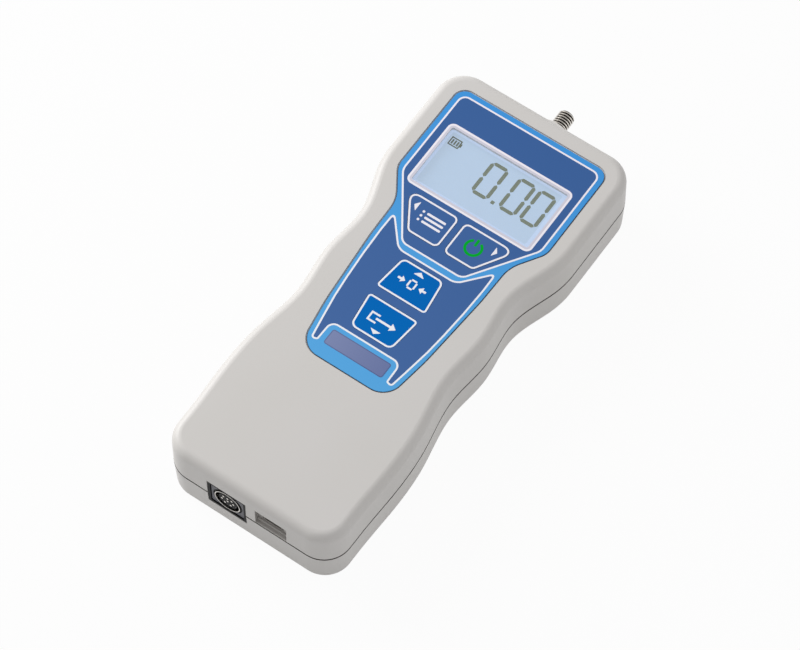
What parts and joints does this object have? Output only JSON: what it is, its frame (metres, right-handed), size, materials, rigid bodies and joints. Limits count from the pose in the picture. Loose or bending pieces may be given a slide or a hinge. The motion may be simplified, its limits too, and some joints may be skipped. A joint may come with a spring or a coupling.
{
  "type": "digital force gauge",
  "caption": "Hand-held digital force gauge: waisted two-shell casing, display and press keys on the front, threaded measuring stud at one end, two sockets at the other.",
  "frame": {"origin": "middle of the four stand holes, on the back face", "axes": "+Y along the measuring stud, pointing out of it; +Z out of the front face; +X to the right seen from the front with the stud up"},
  "size_m": [0.0728, 0.1825, 0.0274],
  "materials": {
    "casing": "fine satin",
    "film": "satin film",
    "key_film": "satin film",
    "window": "clear",
    "lcd_glass": "lit glass",
    "light_guide": "clear",
    "black_plastic": "moulded",
    "stem_plastic": "moulded",
    "contact_rubber": "soft",
    "board": "lacquered",
    "screw_steel": "plated",
    "steel": "turned",
    "aluminium": "milled",
    "brass": "turned",
    "plated": "plated",
    "gauge_foil": "foil",
    "lead": "insulated",
    "battery": "sleeved",
    "label": "satin"
  },
  "bodies": {
    "casing": {"front_cover": "casing", "rear_cover": "casing", "front_panel": "film", "display_window": "window", "display_glass": "lcd_glass", "display_backlight": "light_guide", "display_frame": "black_plastic", "key_switches": "black_plastic", "data_socket_housing": "black_plastic", "data_socket_insert": "black_plastic", "usb_socket_tongue": "black_plastic", "beeper": "black_plastic", "board_chips": "black_plastic", "board_header": "black_plastic", "battery_tray": "black_plastic", "zebra_strips": "contact_rubber", "main_board": "board", "connector_board": "board", "board_screws": "screw_steel", "connector_board_screws": "screw_steel", "casing_screws": "screw_steel", "cell_screws": "screw_steel", "shaft_guide": "steel", "chassis_plate": "steel", "load_cell": "aluminium", "stand_inserts": "brass", "data_socket_pins": "brass", "data_socket_plate": "plated", "data_socket_shell": "plated", "usb_socket_shell": "plated", "strain_gauges": "gauge_foil", "cell_lead": "lead", "battery_lead": "lead", "battery_cells": "battery", "rear_label": "label"},
    "info_key": {"info_key": "key_film", "info_stem": "stem_plastic"},
    "power_key": {"power_key": "key_film", "power_stem": "stem_plastic"},
    "zero_key": {"zero_key": "key_film", "zero_stem": "stem_plastic"},
    "send_key": {"send_key": "key_film", "send_stem": "stem_plastic"},
    "shaft": {"measuring_shaft": "steel", "shaft_nut": "screw_steel"}
  },
  "joints": [
    {"name": "info_press", "type": "slide", "parent": "casing", "child": "info_key", "axis": [0, 0, -1], "range_m": [0, 0.00035], "stiffness_N_per_m": 2000, "springref_m": -0.0004},
    {"name": "power_press", "type": "slide", "parent": "casing", "child": "power_key", "axis": [0, 0, -1], "range_m": [0, 0.00035], "stiffness_N_per_m": 2000, "springref_m": -0.0004},
    {"name": "zero_press", "type": "slide", "parent": "casing", "child": "zero_key", "axis": [0, 0, -1], "range_m": [0, 0.00035], "stiffness_N_per_m": 2000, "springref_m": -0.0004},
    {"name": "send_press", "type": "slide", "parent": "casing", "child": "send_key", "axis": [0, 0, -1], "range_m": [0, 0.00035], "stiffness_N_per_m": 2000, "springref_m": -0.0004},
    {"name": "shaft_load", "type": "slide", "parent": "casing", "child": "shaft", "axis": [0, 1, 0], "range_m": [-0.0002, 0.0002], "stiffness_N_per_m": 250000, "deforming": ["load_cell"]}
  ]
}
